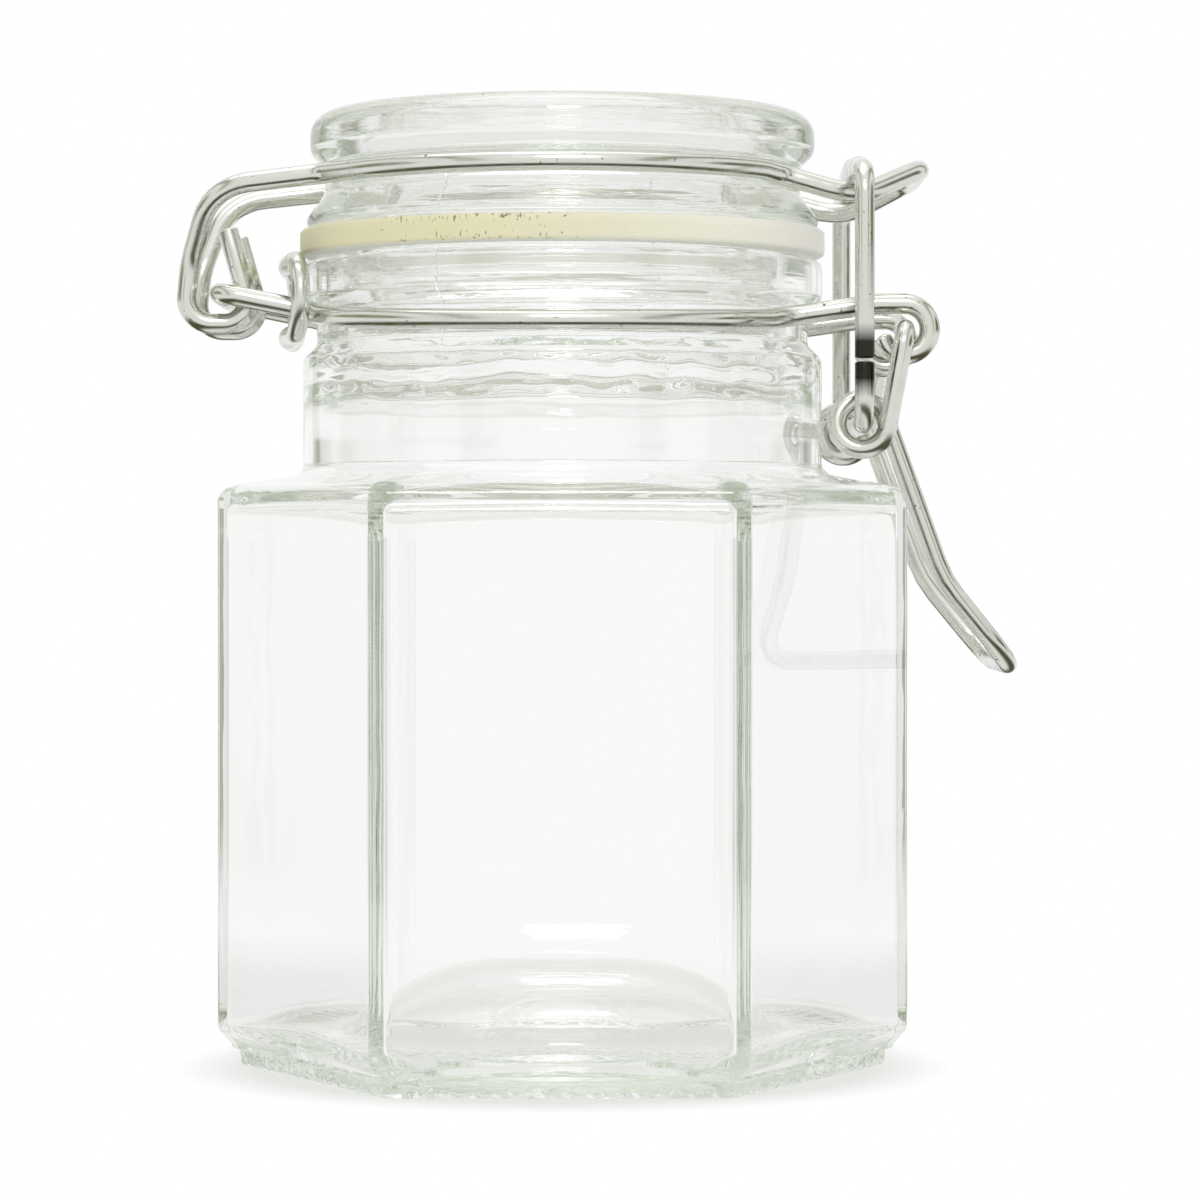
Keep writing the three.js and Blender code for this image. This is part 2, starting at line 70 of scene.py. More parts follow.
# %% [markdown]
# ## Camera
# The photograph was taken with a long lens, a little to the right of the jar's axis and just above the
# middle of its height, so the lid is seen from below and the foot from above. The place and the lens
# come from lines in the photograph whose real heights are known from the model. Light crosses many
# skins in a thick glass corner, and a ray that is given up early leaves the corner black, so rays may
# bounce often.

# %% Camera
CAMERA_PLACE = (3.37, -390, 45.7)
CAMERA_PITCH_DOWN = 0.58
LENS = 130.2
SENSOR_WIDTH = 36
NEAR_CLIP = 10
BOUNCES = 128

camera = bpy.data.objects.new("camera", bpy.data.cameras.new("camera"))
camera.location = Vector(CAMERA_PLACE) * MM
camera.rotation_euler = (math.radians(90 - CAMERA_PITCH_DOWN), 0, 0)
camera.data.lens = LENS
camera.data.sensor_width = SENSOR_WIDTH
camera.data.clip_start = NEAR_CLIP * MM
scene.collection.objects.link(camera)
scene.camera = camera
scene.view_settings.view_transform = "Standard"
scene.cycles.max_bounces = BOUNCES
scene.cycles.transmission_bounces = BOUNCES
scene.cycles.glossy_bounces = BOUNCES
print("camera at", tuple(camera.location), "m, lens", LENS, "mm")

# %% [markdown]
# ## Helpers for finishes
# A colour is written as it looks on the screen, in sRGB hex, and Blender's shaders want it linear,
# so one function turns it. Another adds a node with its settings and its links in one line. All
# patterns lie on Object coordinates, which are metres here, so their sizes are real sizes.


# %% Colour and node helpers
def linear(hex_colour):
    """A colour from sRGB hex to the linear values that shaders use."""
    parts = [int(hex_colour[i : i + 2], 16) / 255 for i in (1, 3, 5)]
    return [p / 12.92 if p <= 0.04045 else ((p + 0.055) / 1.055) ** 2.4 for p in parts] + [1.0]


def add_node(tree, kind, inputs, **settings):
    """A new node with its settings; each input is a value or the socket that it is linked from."""
    node = tree.nodes.new(kind)
    for name, value in settings.items():
        setattr(node, name, value)
    for socket, value in inputs.items():
        if isinstance(value, bpy.types.NodeSocket):
            tree.links.new(value, node.inputs[socket])
        else:
            node.inputs[socket].default_value = value
    return node


def new_material(name):
    """An empty material and its tree, with an output node."""
    material = bpy.data.materials.new(name)
    material.use_nodes = True
    material.node_tree.nodes.clear()
    return material, material.node_tree, material.node_tree.nodes.new("ShaderNodeOutputMaterial")


def ramp(tree, value, stops):
    """A colour ramp over a value; each stop is its place and its sRGB hex colour, the two ends first."""
    node = add_node(tree, "ShaderNodeValToRGB", {"Fac": value})
    elements = node.color_ramp.elements
    for i, (place, colour) in enumerate(stops):
        stop = elements[i] if i < 2 else elements.new(place)
        stop.position, stop.color = place, linear(colour)
    return node.outputs["Color"]


def per_mm(size):
    """The scale of a pattern whose grain is that many millimetres, on Object coordinates in metres."""
    return 1 / (size * MM)


def from_axis(tree, place):
    """How far a place is from the jar's axis, in metres."""
    flat = add_node(tree, "ShaderNodeVectorMath", {0: place, 1: (1, 1, 0)}, operation="MULTIPLY")
    length = add_node(tree, "ShaderNodeVectorMath", {0: flat.outputs["Vector"]}, operation="LENGTH")
    return length.outputs["Value"]


print("white is", linear("#ffffff"))

# %% [markdown]
# ## Clear glass
# Soda-lime glass from a mould: IOR 1.52, fire-polished and so almost perfectly smooth. Its colour
# is only in its depth: iron in the sand takes a little red and blue out of light that runs a long
# way through it, which is why the edges look grey-green. A Volume Absorption node gives just that.
# A mould also leaves the skin a little wavy over several millimetres, and the pressed finish and lid
# keep fine streaks that run round them. Two faint bumps show both, and a third is the seam where the
# halves of the mould met, a hairline up the finish and the lid.

# %% Glass skin
GLASS_WAVE = 7
WAVE_BUMP = 0.03
STREAK_LENGTH = 9
STREAK_HEIGHT = 0.4
STREAK_BUMP = 0.016
STREAKS_FROM = (62, 66)

glass, tree, output = new_material("soda_lime_glass")
where = add_node(tree, "ShaderNodeTexCoord", {})
wave = add_node(
    tree,
    "ShaderNodeTexNoise",
    {"Vector": where.outputs["Object"], "Scale": per_mm(GLASS_WAVE), "Detail": 1.0},
)
skin = add_node(
    tree,
    "ShaderNodeBump",
    {"Height": wave.outputs["Fac"], "Strength": 1.0, "Distance": WAVE_BUMP * MM},
)
long_grain = add_node(
    tree,
    "ShaderNodeMapping",
    {
        "Vector": where.outputs["Object"],
        "Scale": (per_mm(STREAK_LENGTH), per_mm(STREAK_LENGTH), per_mm(STREAK_HEIGHT)),
    },
)
streak = add_node(
    tree,
    "ShaderNodeTexNoise",
    {"Vector": long_grain.outputs["Vector"], "Scale": 1.0, "Detail": 2.0},
)
axes = add_node(tree, "ShaderNodeSeparateXYZ", {"Vector": where.outputs["Object"]})
pressed = add_node(
    tree,
    "ShaderNodeMapRange",
    {"Value": axes.outputs["Z"], "From Min": STREAKS_FROM[0] * MM, "From Max": STREAKS_FROM[1] * MM},
)
streaked = add_node(
    tree,
    "ShaderNodeMath",
    {0: streak.outputs["Fac"], 1: pressed.outputs["Result"]},
    operation="MULTIPLY",
)
skin = add_node(
    tree,
    "ShaderNodeBump",
    {
        "Height": streaked.outputs["Value"],
        "Strength": 1.0,
        "Distance": STREAK_BUMP * MM,
        "Normal": skin.outputs["Normal"],
    },
)
print("waves", GLASS_WAVE, "mm long, streaks", STREAK_LENGTH, "by", STREAK_HEIGHT, "mm")

# %% Mould seam
SEAM_HEADING = math.radians(27)
SEAM_HALF_WIDTH = 0.12
SEAM_BUMP = 0.05
SEAM_SKIN = (20.9, 21.2)
SEAM_ON_LID = 10
seam_top = heights("glass_lid")[0] + SEAM_ON_LID

off_seam = add_node(
    tree,
    "ShaderNodeVectorMath",
    {0: where.outputs["Object"], 1: (math.cos(SEAM_HEADING), -math.sin(SEAM_HEADING), 0)},
    operation="DOT_PRODUCT",
)
off_seam = add_node(
    tree, "ShaderNodeMath", {0: off_seam.outputs["Value"]}, operation="ABSOLUTE"
)
seam = add_node(
    tree,
    "ShaderNodeMapRange",
    {
        "Value": off_seam.outputs["Value"],
        "From Max": SEAM_HALF_WIDTH * MM,
        "To Min": 1.0,
        "To Max": 0.0,
    },
)
on_skin = add_node(
    tree,
    "ShaderNodeMapRange",
    {
        "Value": from_axis(tree, where.outputs["Object"]),
        "From Min": SEAM_SKIN[0] * MM,
        "From Max": SEAM_SKIN[1] * MM,
    },
)
below_wire = add_node(
    tree, "ShaderNodeMath", {0: axes.outputs["Z"], 1: seam_top * MM}, operation="LESS_THAN"
)
seam = seam.outputs["Result"]
for mask in (pressed.outputs["Result"], on_skin.outputs["Result"], below_wire.outputs["Value"]):
    seam = add_node(
        tree, "ShaderNodeMath", {0: seam, 1: mask}, operation="MULTIPLY"
    ).outputs["Value"]
skin = add_node(
    tree,
    "ShaderNodeBump",
    {
        "Height": seam,
        "Strength": 1.0,
        "Distance": SEAM_BUMP * MM,
        "Normal": skin.outputs["Normal"],
    },
)
print("seam from", STREAKS_FROM[0], "to", round(seam_top, 1), "mm")

# %% [markdown]
# Glass throws a pale shadow, and a lamp's light reaches what is behind it. Tracing that light through
# every skin is slow and noisy, so shadow rays and diffuse rays pass the glass as if it were only
# slightly tinted air. What the eye sees still goes through real glass.

# %% Glass
GLASS_IOR = 1.52
GLASS_TINT = "#c7d2bd"
GLASS_DENSITY = 9

body = add_node(
    tree,
    "ShaderNodeBsdfPrincipled",
    {
        "Base Color": linear("#ffffff"),
        "Roughness": 0.0,
        "IOR": GLASS_IOR,
        "Transmission Weight": 1.0,
        "Normal": skin.outputs["Normal"],
    },
)
depth = add_node(
    tree, "ShaderNodeVolumeAbsorption", {"Color": linear(GLASS_TINT), "Density": GLASS_DENSITY}
)
path = add_node(tree, "ShaderNodeLightPath", {})
unseen = add_node(
    tree,
    "ShaderNodeMath",
    {0: path.outputs["Is Shadow Ray"], 1: path.outputs["Is Diffuse Ray"]},
    operation="MAXIMUM",
)
open_way = add_node(tree, "ShaderNodeBsdfTransparent", {"Color": linear("#fafbf9")})
surface = add_node(
    tree,
    "ShaderNodeMixShader",
    {0: unseen.outputs["Value"], 1: body.outputs["BSDF"], 2: open_way.outputs["BSDF"]},
)
tree.links.new(surface.outputs["Shader"], output.inputs["Surface"])
tree.links.new(depth.outputs["Volume"], output.inputs["Volume"])
print("glass takes", [round(GLASS_DENSITY * (1 - c), 2) for c in linear(GLASS_TINT)[:3]], "per metre")

# %% [markdown]
# ## Plated wire
# Mild steel wire, drawn, bent and then plated bright. The plating mirrors the studio, a little
# blurred by the drawing lines, and it has a few pits and hazy patches. Noise sets them, at the size
# that the photograph shows. The ends of the clasp's loop meet in a butt joint, and the heat of closing
# it has left the near strand dark on both sides.

# %% Wire plating
WIRE_HAZE = 2.2
HAZE_TURN = (0.35, 0.75)
WIRE_ROUGHNESS = (0.15, 0.32)
WIRE_PIT = 0.5
PITS_ABOVE = (0.7, 0.76)

wire_finish, tree, output = new_material("bright_plated_steel_wire")
where = add_node(tree, "ShaderNodeTexCoord", {})
haze = add_node(
    tree,
    "ShaderNodeTexNoise",
    {"Vector": where.outputs["Object"], "Scale": per_mm(WIRE_HAZE), "Detail": 3.0},
)
dull = add_node(
    tree,
    "ShaderNodeMapRange",
    {
        "Value": haze.outputs["Fac"],
        "From Min": HAZE_TURN[0],
        "From Max": HAZE_TURN[1],
        "To Min": WIRE_ROUGHNESS[0],
        "To Max": WIRE_ROUGHNESS[1],
    },
)
pits = add_node(
    tree,
    "ShaderNodeTexNoise",
    {"Vector": where.outputs["Object"], "Scale": per_mm(WIRE_PIT), "Detail": 2.0},
)
pitted = add_node(
    tree,
    "ShaderNodeMapRange",
    {"Value": pits.outputs["Fac"], "From Min": PITS_ABOVE[0], "From Max": PITS_ABOVE[1]},
)
plate = add_node(
    tree,
    "ShaderNodeMix",
    {6: linear("#d8dad2"), 7: linear("#5d5a50"), 0: pitted.outputs["Result"]},
    data_type="RGBA",
)
print("haze", WIRE_HAZE, "mm and pits", WIRE_PIT, "mm in size")

# %% Wire scorch
LINK_HALF_WIDTH = 18.025
LINK_JOINT = 5.4
SCORCH_REACH = (1.8, 3.3)

butt_joint = Vector((coil.x, -LINK_HALF_WIDTH, coil.z + LINK_JOINT))
from_joint = add_node(
    tree,
    "ShaderNodeVectorMath",
    {0: where.outputs["Object"], 1: butt_joint * MM},
    operation="DISTANCE",
)
burnt = add_node(
    tree,
    "ShaderNodeMapRange",
    {
        "Value": from_joint.outputs["Value"],
        "From Min": SCORCH_REACH[0] * MM,
        "From Max": SCORCH_REACH[1] * MM,
        "To Min": 1.0,
        "To Max": 0.0,
    },
)
plate = add_node(
    tree,
    "ShaderNodeMix",
    {6: plate.outputs[2], 7: linear("#34322c"), 0: burnt.outputs["Result"]},
    data_type="RGBA",
)
body = add_node(
    tree,
    "ShaderNodeBsdfPrincipled",
    {
        "Base Color": plate.outputs[2],
        "Metallic": 1.0,
        "Roughness": dull.outputs["Result"],
    },
)
tree.links.new(body.outputs["BSDF"], output.inputs["Surface"])
print("wire finish", wire_finish.name)

# %% [markdown]
# ## Cream rubber
# The gasket is natural rubber, cut from a moulded sheet: matt and a little waxy. Its cream is darker
# and yellower on the hinge side than on the clasp side. Brown specks of spice and dirt sit in the skin.
# The faces that the glass covers are painted near-white, a painted light that keeps them from looking
# shaded through the glass.

# %% Rubber ageing
RUBBER_HALF_WIDTH = 24

rubber, tree, output = new_material("natural_rubber_cream")
where = add_node(tree, "ShaderNodeTexCoord", {})
axes = add_node(tree, "ShaderNodeSeparateXYZ", {"Vector": where.outputs["Object"]})
across = add_node(
    tree,
    "ShaderNodeMapRange",
    {
        "Value": axes.outputs["X"],
        "From Min": -RUBBER_HALF_WIDTH * MM,
        "From Max": RUBBER_HALF_WIDTH * MM,
    },
).outputs["Result"]
# A ramp across the gasket: darker and yellower on the hinge side (-X), pale on the clasp side (+X).
hinge_to_clasp_tone = ramp(tree, across, [(0, "#d8d5b3"), (1, "#f3f1e8"), (0.3, "#dfdbb6"), (0.6, "#e2dfc8")])
print("yellow on the hinge side, pale on the clasp side")

# %% Rubber specks
RUBBER_SPECK = 0.26
SPECK_EDGE = (0.3, 0.8)
MORE_SPECKS = (0.05, 0.14)
SPECKS_ABOVE = (0.73, 0.79)
SPECK_DEPTH = 0.85
rubber_middle = sum(heights("rubber_gasket")) / 2

upright = add_node(
    tree,
    "ShaderNodeMapping",
    {
        "Vector": where.outputs["Object"],
        "Scale": (per_mm(RUBBER_SPECK), per_mm(RUBBER_SPECK), per_mm(2 * RUBBER_SPECK)),
    },
)
specks = add_node(
    tree,
    "ShaderNodeTexNoise",
    {"Vector": upright.outputs["Vector"], "Scale": 1.0, "Detail": 2.0},
)
dirty_run = ramp(
    tree, across, [(0.14, "#000000"), (0.6, "#000000"), (0.22, "#ffffff"), (0.48, "#ffffff")]
)
off_middle = add_node(
    tree, "ShaderNodeMath", {0: axes.outputs["Z"], 1: rubber_middle * MM}, operation="SUBTRACT"
)
off_middle = add_node(
    tree, "ShaderNodeMath", {0: off_middle.outputs["Value"]}, operation="ABSOLUTE"
)
edge = add_node(
    tree,
    "ShaderNodeMapRange",
    {
        "Value": off_middle.outputs["Value"],
        "From Min": SPECK_EDGE[0] * MM,
        "From Max": SPECK_EDGE[1] * MM,
        "To Min": MORE_SPECKS[0],
        "To Max": MORE_SPECKS[1],
    },
)
more = add_node(
    tree, "ShaderNodeMath", {0: dirty_run, 1: edge.outputs["Result"]}, operation="MULTIPLY"
)
dirt = add_node(
    tree,
    "ShaderNodeMath",
    {0: specks.outputs["Fac"], 1: more.outputs["Value"]},
    operation="ADD",
)
spotted = add_node(
    tree,
    "ShaderNodeMapRange",
    {
        "Value": dirt.outputs["Value"],
        "From Min": SPECKS_ABOVE[0],
        "From Max": SPECKS_ABOVE[1],
        "To Max": SPECK_DEPTH,
    },
)
colour = add_node(
    tree,
    "ShaderNodeMix",
    {6: hinge_to_clasp_tone, 7: linear("#75664a"), 0: spotted.outputs["Result"]},
    data_type="RGBA",
)
print("specks", RUBBER_SPECK, "mm in size, most near the two edges")

# %% Rubber
# Painted light: the faces inside 23 mm, which the glass covers, are painted near-white so that they don't
# look shaded.
PAINTED_PALE_INSIDE = (23.0, 23.4)

outer = add_node(
    tree,
    "ShaderNodeMapRange",
    {
        "Value": from_axis(tree, where.outputs["Object"]),
        "From Min": PAINTED_PALE_INSIDE[0] * MM,
        "From Max": PAINTED_PALE_INSIDE[1] * MM,
    },
)
colour = add_node(
    tree,
    "ShaderNodeMix",
    {6: linear("#f3f2ed"), 7: colour.outputs[2], 0: outer.outputs["Result"]},
    data_type="RGBA",
)
grain = add_node(
    tree,
    "ShaderNodeBump",
    {"Height": specks.outputs["Fac"], "Strength": 0.25, "Distance": 0.1 * MM},
)
body = add_node(
    tree,
    "ShaderNodeBsdfPrincipled",
    {
        "Base Color": colour.outputs[2],
        "Roughness": 0.62,
        "Subsurface Weight": 0.5,
        "Subsurface Radius": (1.0, 0.95, 0.8),
        "Subsurface Scale": 2 * MM,
        "Normal": grain.outputs["Normal"],
    },
)
tree.links.new(body.outputs["BSDF"], output.inputs["Surface"])
print("rubber finish", rubber.name)

# %% [markdown]
# ## Helpers for shapes
# Every outline and every wire here is a few corners, each with the radius that it is rounded to, so
# one function turns corners into points. The jar and the wires both grow from a ring that is extruded
# again and again, so two more are for rings. Lengths are in millimetres until a piece is finished,
# when its mesh is brought to metres in one step.

# %% Shape helpers
ARC_STEP = 9


def rounded(corners):
    """Points along straight runs, with an arc at each corner that has a radius."""
    points = []
    for i, (corner, radius) in enumerate(corners):
        if not radius:
            points.append(corner)
            continue
        back = (corners[i - 1][0] - corner).normalized()
        ahead = (corners[i + 1][0] - corner).normalized()
        turn = math.pi - back.angle(ahead)
        axis = ahead.cross(back).normalized()
        centre = corner + (back + ahead).normalized() * radius / math.cos(turn / 2)
        arm = corner + back * radius * math.tan(turn / 2) - centre
        count = max(2, round(math.degrees(turn) / ARC_STEP))
        points += [
            centre + Quaternion(axis, turn * step / count) @ arm for step in range(count + 1)
        ]
    return points


def loop_edges(bm, ring):
    """The edges of a closed ring, in the order of its points."""
    return [bm.edges.get(pair) for pair in zip(ring, ring[1:] + ring[:1])]


def carried(bm, ring):
    """The ring extruded along its edges: the new ring, point for point in the order of the old one."""
    made = bmesh.ops.extrude_edge_only(bm, edges=loop_edges(bm, ring))["geom"]
    above = {}
    for part in made:
        if isinstance(part, bmesh.types.BMVert):
            above.update({edge.other_vert(part): part for edge in part.link_edges})
    return [above[vert] for vert in ring]


def finish_piece(bm, name, finish, body, node):
    """The mesh in metres as a smooth object that rides on its body and stands for its node."""
    bmesh.ops.scale(bm, vec=(MM, MM, MM), verts=bm.verts)
    mesh = bpy.data.meshes.new(name)
    bm.to_mesh(mesh)
    bm.free()
    mesh.shade_smooth()
    mesh.materials.append(finish)
    piece = bpy.data.objects.new(name, mesh)
    scene.collection.objects.link(piece)
    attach(piece, body)
    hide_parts(node)
    print(name, len(mesh.vertices), "vertices,", len(mesh.polygons), "faces")
    return piece


print("arcs in steps of about", ARC_STEP, "degrees")

# %% [markdown]
# ## Jar body
# The jar is a stack of rings. At the foot and the sides a ring is a hexagon with rounded corners, at
# the neck it is a circle, and on the shoulder it is something between the two. All rings have the
# same number of points: the first is made by `create_circle`, and each later one is the ring before it,
# extruded along its edges and moved to its own outline. Bridging separate rings would be simpler, but it
# can join two rings the wrong way round where they lie almost level. A modelled hexagon with a boolean
# neck would leave sharp joins that moulded glass never has, and in glass every crease shows.

# %% Jar sizes
FLAT = 27.1
OUTER_CORNER = 2
INNER_CORNER = 0.9
WALL = 1.9
FOOT = (22.5, 25.3)
HEEL_LINES = ((25.4, 1.35), (25.95, 1.55), (26.1, 1.95))
HEEL_TOP = 3.2
BODY_TOP = 51.7
NECK_BASE = 53
NECK_RADIUS = 23.25
NECK_LOWER_WALL = 1.5
BORE = 20.15
BORE_STEP = 0.4
GROOVE_RADIUS = 22
GROOVE = (63.3, 64.5, 67.45, 68.7)
PUSH_UP = 8
PUSH_UP_RADIUS = 18.9
FLOOR = 3.4
FLOOR_CORNER = 1.1
FLOOR_WARP = 0.37
DOME_RADIUS = 18.5
DOME_RISE = 6.4
DOME_POWER = 3.5
CORNER_STEPS = 20
FLAT_STEPS = 50
RING_SPACING = 2.5
FINE_SPACING = 0.25
RIPPLE_SPAN = (58.5, 66.5)
finish_top = heights("jar_body")[1]


def polar(radius, angle):
    """The level point at a distance and a heading from the axis."""
    return Vector((radius * math.cos(angle), radius * math.sin(angle), 0))


def hexagon(flat, corner):
    """Points round a hexagon with rounded corners, counted so that every ring has the same number."""
    reach = (flat - corner) / math.cos(math.pi / 6)
    points = []
    for side in range(6):
        heading = side * math.pi / 3
        arc = [
            polar(reach, heading) + polar(corner, heading + (step / CORNER_STEPS - 0.5) * math.pi / 3)
            for step in range(CORNER_STEPS + 1)
        ]
        far = polar(reach, heading + math.pi / 3) + polar(corner, heading + math.pi / 6)
        points += arc + [arc[-1].lerp(far, step / FLAT_STEPS) for step in range(1, FLAT_STEPS)]
    return points


headings = [math.atan2(point.y, point.x) for point in hexagon(FLAT, OUTER_CORNER)]
print(len(headings), "points in each ring")


# %% Jar outline
def at(size, height, roundness=0.0, bend=0.0):
    """A corner of an outline: half the width there, the height, 0 for hexagon to 1 for circle, a bend."""
    return Vector((size, roundness, height)), bend


DOME_SHARES = (0.02, 0.2, 0.35, 0.45, 0.53, 0.6, 0.66, 0.72, 0.78, 0.84, 0.9, 0.96)
(line_1, line_1_z), (line_2, line_2_z), (line_3, line_3_z) = HEEL_LINES
lower_bore = NECK_RADIUS - NECK_LOWER_WALL
outside = [
    # push-up, from round to hexagonal
    *(at(share * PUSH_UP_RADIUS, PUSH_UP * (1 - share**DOME_POWER), 1) for share in DOME_SHARES),
    at(20.2, 0.1, 0.9),
    # foot ring, heel and side
    at(FOOT[0], 0, 0, 0.5),
    at(FOOT[1], 0, 0, 0.4),
    at(line_1, line_1_z, 0, 0.2),
    at(line_2, line_2_z, 0, 0.12),
    at(line_3, line_3_z, 0, 0.2),
    at(FLAT, HEEL_TOP, 0, 1.2),
    at(FLAT, BODY_TOP, 0, 1.4),
    # shoulder, from hexagonal to round
    at(FLAT - 1.3, BODY_TOP + 0.35, 0.06),
    at(FLAT - 2, BODY_TOP + 0.65, 0.25),
    at(FLAT - 2.4, BODY_TOP + 0.9, 0.58),
    at(NECK_RADIUS + 1.1, NECK_BASE - 0.15, 0.9),
    at(NECK_RADIUS + 0.7, NECK_BASE, 1),
    # neck, groove and finish
    at(NECK_RADIUS, NECK_BASE + 0.6, 1, 0.7),
    at(NECK_RADIUS, GROOVE[0], 1, 1.0),
    at(GROOVE_RADIUS, GROOVE[1], 1, 0.8),
    at(GROOVE_RADIUS, GROOVE[2], 1, 0.8),
    at(NECK_RADIUS, GROOVE[3], 1, 0.9),
    at(NECK_RADIUS, finish_top, 1, 0.9),
    at(21.9, finish_top, 1),
]
inside = [
    # bore, its two steps, and the lower neck
    at(21.5, finish_top, 1),
    at(BORE, finish_top, 1, 0.9),
    at(BORE, 63.7, 1, 1.2),
    at(BORE + BORE_STEP, 62.3, 1, 1.2),
    at(BORE + BORE_STEP, 60.8, 1, 1),
    at(lower_bore, 59.2, 1, 1),
    at(lower_bore, NECK_BASE, 1, 1),
    # shoulder, from round to hexagonal
    at(22.5, NECK_BASE - 1.4, 0.85),
    at(23.2, NECK_BASE - 1.9, 0.55),
    at(24, NECK_BASE - 2.3, 0.2),
    # side and floor
    at(FLAT - WALL, NECK_BASE - 2.8, 0, 1.2),
    at(FLAT - WALL, FLOOR, 0, FLOOR_CORNER),
    at(20.6, FLOOR, 0.6),
    at(19.3, FLOOR + 0.05, 1),
    *(
        at(share * DOME_RADIUS, FLOOR + DOME_RISE * (1 - share**DOME_POWER), 1)
        for share in DOME_SHARES[::-1]
    ),
]


def spaced(points, fine_heights):
    """The same points with more between them, closest together within the fine heights."""
    low, high = fine_heights
    result = [points[0]]
    for here, there in zip(points, points[1:]):
        longest = FINE_SPACING if low < (here.z + there.z) / 2 < high else RING_SPACING
        count = math.ceil((there - here).length / longest)
        result += [here.lerp(there, step / count) for step in range(1, count + 1)]
    return result


stack = [(point, OUTER_CORNER) for point in spaced(rounded(outside), (0, 0))]
stack += [(point, INNER_CORNER) for point in spaced(rounded(inside), RIPPLE_SPAN)]
print(len(stack), "rings from the underside, up the outside and down to the inner floor")

# %% [markdown]
# The foot is knurled: short teeth keep the hot base off the belt. The inside of the neck was shaped
# only by air and the plunger, so it is wavy where the two met. Both are shapes, not bumps, because
# glass bends what is behind it. The floor's edge also runs lower in the corners than along the sides.

# %% Teeth, ripples and warp
TOOTH_PITCH = 2.07
TOOTH_RISE = 0.7
TOOTH_DEPTH = 0.45
TOOTH_BAND = 1.3
TEETH_FROM = (21, 23)
RIPPLE = 0.022
RIPPLE_FADE = 2
RIPPLE_WAVES = ((1, 0.3, 1.3), (0.2, 0.9, 2.4))
SETTLE = 0.8
SETTLE_WAVES = ((1, 0.2, 0), (0.3, 0.5, 1))
LEDGE = (61.5, 1.3)
LEDGE_DRIFT = 0.3
LEDGE_WAVES = ((1, 0.12, 0),)
LEDGE_START = 5
WARP_HEIGHTS = (12, 6)
WARP_SIZES = (17, 23)


def between(value, start, stop):
    """0 before the start, 1 beyond the stop and evenly between; the stop may be the lower of the two."""
    return min(1.0, max(0.0, (value - start) / (stop - start)))


def waver(place, waves, start=0.0):
    """Smooth noise at a place; a wave is its weight and how fast it changes round the neck and up it."""
    return sum(
        weight * noise.noise(Vector((place.x * around, place.y * around, place.z * up + start)))
        for weight, around, up in waves
    )


def toothed(ring, size, height):
    """Cut the foot's teeth into a ring: none above the foot band, deepest at the standing edge."""
    share = between(height, TOOTH_BAND, 0) * between(size, *TEETH_FROM)
    run = 0.0
    for vert, ahead in zip(ring, ring[1:] + ring[:1]):
        wave = 1 - math.sqrt(1 - min(1.0, abs((run / TOOTH_PITCH) % 1 * 2 - 1)) ** 2)
        run += (ahead.co - vert.co).length
        vert.co.z += TOOTH_RISE * wave * share
        vert.co.xy *= 1 - TOOTH_DEPTH * wave * share / size


def rippled(ring, height):
    """Make the inside of the neck wavy: long waves up and down, and short ones in and out."""
    low, high = RIPPLE_SPAN
    share = min(between(height, low, low + RIPPLE_FADE), between(height, high, high - RIPPLE_FADE))
    ledge = LEDGE_DRIFT * between(abs(height - LEDGE[0]), LEDGE[1], 0)
    for vert in ring:
        place = vert.co.copy()
        vert.co.z += SETTLE * share * waver(place, SETTLE_WAVES)
        drift = ledge * waver(place, LEDGE_WAVES, LEDGE_START)
        vert.co.xy *= 1 + (RIPPLE * waver(place, RIPPLE_WAVES) * share + drift) / BORE


def warped(ring, size, height):
    """Lower the edge of the floor in the corners and raise it at the middle of each side."""
    share = between(height, *WARP_HEIGHTS) * between(size, *WARP_SIZES)
    for vert, heading in zip(ring, headings):
        vert.co.z -= FLOOR_WARP * math.cos(6 * heading) * share


print("teeth every", TOOTH_PITCH, "mm, ripples from", RIPPLE_SPAN[0], "to", RIPPLE_SPAN[1], "mm")


# %% Jar mesh
def outline_points(size, roundness, corner):
    """The points of one ring: a hexagon of that size, a circle, or something between the two."""
    return [
        point.lerp(polar(size, heading), roundness)
        for point, heading in zip(hexagon(size, corner), headings)
    ]


bm = bmesh.new()
first = ring = bmesh.ops.create_circle(bm, segments=len(headings), radius=1)["verts"]
for count, (place, corner) in enumerate(stack):
    ring = carried(bm, ring) if count else first
    small = min(corner, place.x / 2)
    for vert, point in zip(ring, outline_points(place.x, place.y, small)):
        vert.co = point + Vector((0, 0, place.z))
    if corner == OUTER_CORNER:
        toothed(ring, place.x, place.z)
    else:
        rippled(ring, place.z)
        warped(ring, place.x, place.z)
for end in (first, ring):
    middle = sum((vert.co for vert in end), Vector()) / len(end)
    bmesh.ops.pointmerge(bm, verts=end, merge_co=middle)
bmesh.ops.recalc_face_normals(bm, faces=bm.faces)
print("glass in the jar:", round(bm.calc_volume(signed=True) / 1000, 1), "ml")
jar = finish_piece(bm, "jar_glass", glass, "jar", "jar_body")

# %% [markdown]
# ## Lid and gasket
# Both are turned shapes, so each is half an outline that `spin` carries once round the axis. The lid
# has a rim, a groove for its wire, a flange that presses the gasket, and a hollow plug that goes into
# the neck. Real lids are pressed, so no corner is sharp.

# %% Turning helper
LID_STEPS = 192
SAME_POINT = 0.001


def turned(outline):
    """A closed skin from half an outline, carried once round the axis."""
    bm = bmesh.new()
    verts = [bm.verts.new((point.x, 0, point.z)) for point in outline]
    edges = [bm.edges.new(pair) for pair in zip(verts, verts[1:])]
    bmesh.ops.spin(
        bm,
        geom=verts + edges,
        cent=(0, 0, 0),
        axis=(0, 0, 1),
        angle=2 * math.pi,
        steps=LID_STEPS,
        use_merge=True,
    )
    bmesh.ops.remove_doubles(bm, verts=bm.verts, dist=SAME_POINT)
    bmesh.ops.recalc_face_normals(bm, faces=bm.faces)
    return bm


print("turned once round, in", LID_STEPS, "steps")

